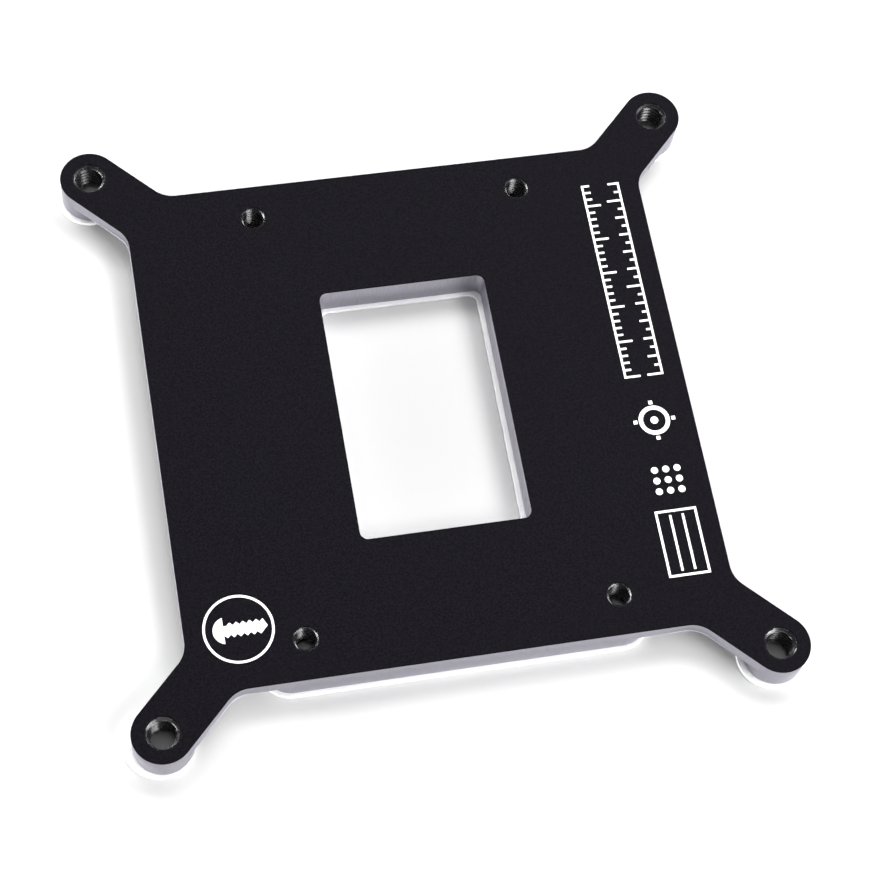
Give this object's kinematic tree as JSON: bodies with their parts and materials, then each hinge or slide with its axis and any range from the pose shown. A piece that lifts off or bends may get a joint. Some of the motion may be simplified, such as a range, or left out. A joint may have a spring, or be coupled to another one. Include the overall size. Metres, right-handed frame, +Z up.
{
  "type": "cpu backplate",
  "caption": "Flat milled plate with a rectangular window and diagonal arms that end in threaded holes, stiffened underneath by a raised frame and bosses with foam pads that rest on a board.",
  "frame": {"origin": "centre of the cooler's square hole pattern, on the surface that the foam pads lie on", "axes": "+Z up, from the pads to the black outer face; +Y to the rear, where the bracket holes are closer together; +X to the right"},
  "size_m": [0.0839, 0.0835, 0.0053],
  "materials": {
    "black_plate": "satin",
    "white_foam": "matte"
  },
  "bodies": {
    "root": {"backplate": "black_plate", "frame_pad": "white_foam", "corner_pad_front_left": "white_foam", "corner_pad_front_right": "white_foam", "corner_pad_rear_left": "white_foam", "corner_pad_rear_right": "white_foam"}
  },
  "joints": []
}
